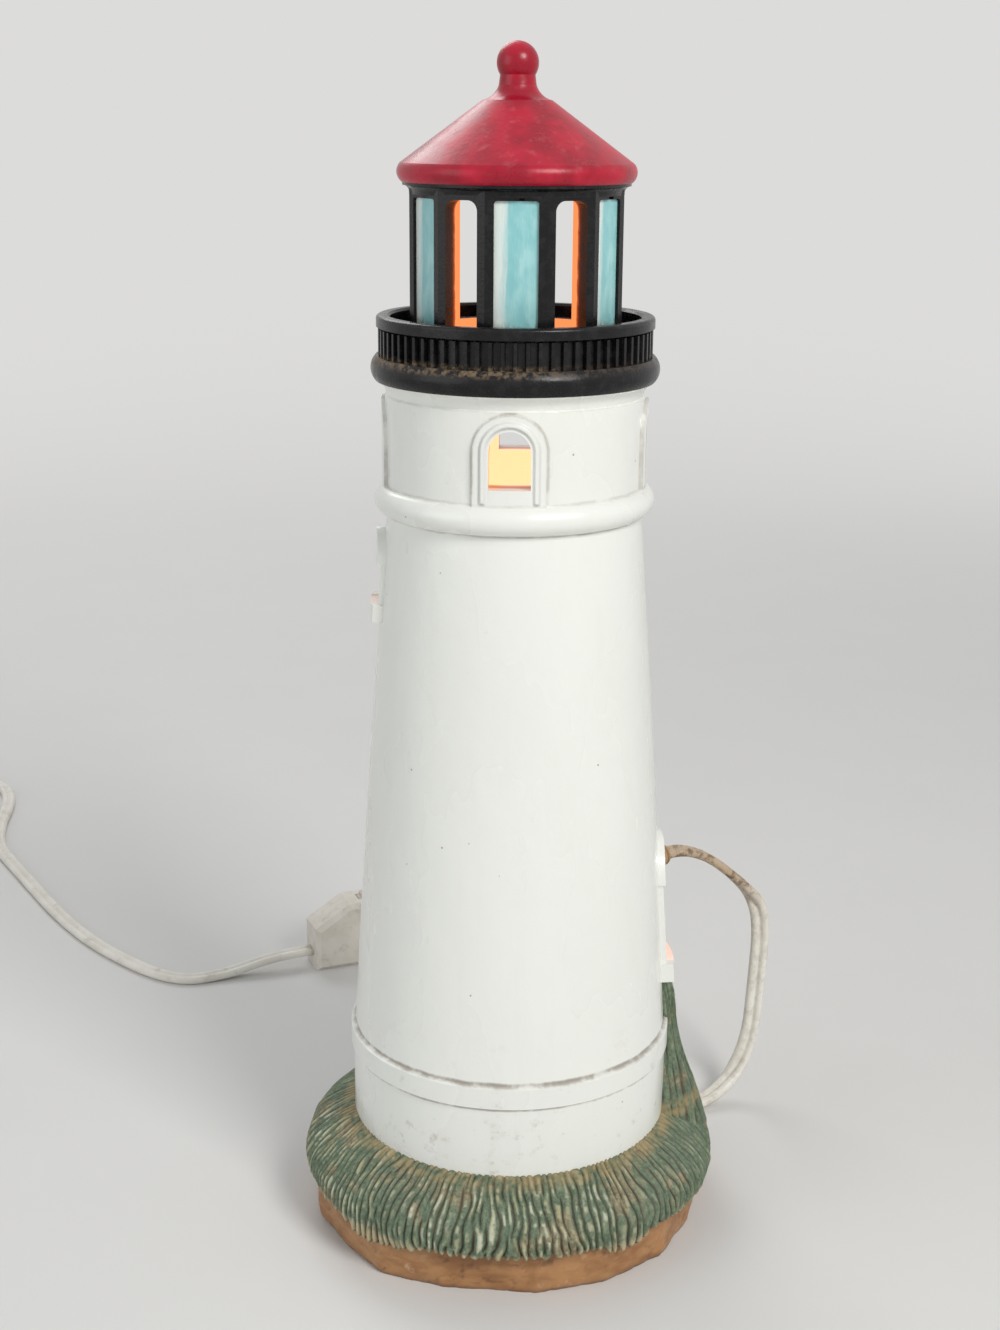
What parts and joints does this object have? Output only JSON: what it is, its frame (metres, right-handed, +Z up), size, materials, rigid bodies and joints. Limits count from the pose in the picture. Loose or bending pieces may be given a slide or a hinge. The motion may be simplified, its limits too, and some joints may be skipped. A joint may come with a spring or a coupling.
{
  "type": "lighted lighthouse ornament",
  "caption": "Cast lighthouse on a grassy rock, lit from inside by a clip-in lamp, with open windows, a caged lantern, a flat supply cord, a cord switch and a plug.",
  "frame": {"origin": "Middle of the plinth's underside, on the surface it stands on.", "axes": "+Z up along the tower, -Y the side facing the viewer in the picture, +X to the viewer's right."},
  "size_m": [0.4048, 0.4307, 0.318],
  "materials": {
    "rock": "dry, washed stone-like",
    "grass": "tan base, green dry brush, dark grooves",
    "tower": "glossy cream glaze with fine dark wash",
    "black": "satin black",
    "pane": "pale turquoise, streaked",
    "roof": "satin red, dusty",
    "holder": "tan phenolic",
    "brass": "drawn",
    "spring_steel": "plain",
    "bulb_glass": "clear",
    "bulb_cap": "bright",
    "insulator": "black glass-like",
    "solder": "soft",
    "stem_glass": "clear",
    "filament": "dark wire",
    "cord": "soft, slightly yellowed",
    "switch": "moulded",
    "wheel": "moulded, ribbed",
    "screw": "plated",
    "plug": "moulded"
  },
  "bodies": {
    "ornament": {"rock_plinth": "rock", "grass_mound": "grass", "tower_shell": "tower", "gallery": "black", "lantern_frame": "black", "lantern_pane_1": "pane", "lantern_pane_2": "pane", "lantern_pane_3": "pane", "lantern_pane_4": "pane", "lantern_pane_5": "pane", "lantern_pane_6": "pane", "roof": "roof", "cord_loop": "cord", "switch_shell_front": "switch", "switch_shell_back": "switch", "switch_screws": "screw", "switch_contacts": "brass", "cord_run": "cord", "cord_coil": "cord", "cord_tail": "cord", "plug_body": "plug", "plug_blade_left": "brass", "plug_blade_right": "brass"},
    "lampholder": {"holder_body": "holder", "screw_shell": "brass", "centre_contact": "brass", "spring_clips": "spring_steel", "strain_relief": "holder"},
    "bulb": {"bulb_glass": "bulb_glass", "bulb_cap": "bulb_cap", "bulb_insulator": "insulator", "bulb_contact": "solder", "bulb_stem": "stem_glass", "bulb_filament": "filament"},
    "switch_wheel": {"switch_wheel": "wheel"}
  },
  "joints": [
    {"name": "lampholder_withdrawal", "type": "slide", "parent": "ornament", "child": "lampholder", "axis": [0.7071, 0.7071, 0], "range_m": [0, 0.075], "deforming": ["cord_loop", "spring_clips"]},
    {"name": "bulb_unscrew", "type": "hinge", "parent": "lampholder", "child": "bulb", "pos_m": [0, 0, 0.086], "axis": [-0.7071, -0.7071, 0], "range_deg": [0, 1260]},
    {"name": "switch_wheel_turn", "type": "hinge", "parent": "ornament", "child": "switch_wheel", "pos_m": [-0.04964, 0.16006, 0.018], "axis": [0.3811, -0.9245, 0], "continuous": true}
  ]
}
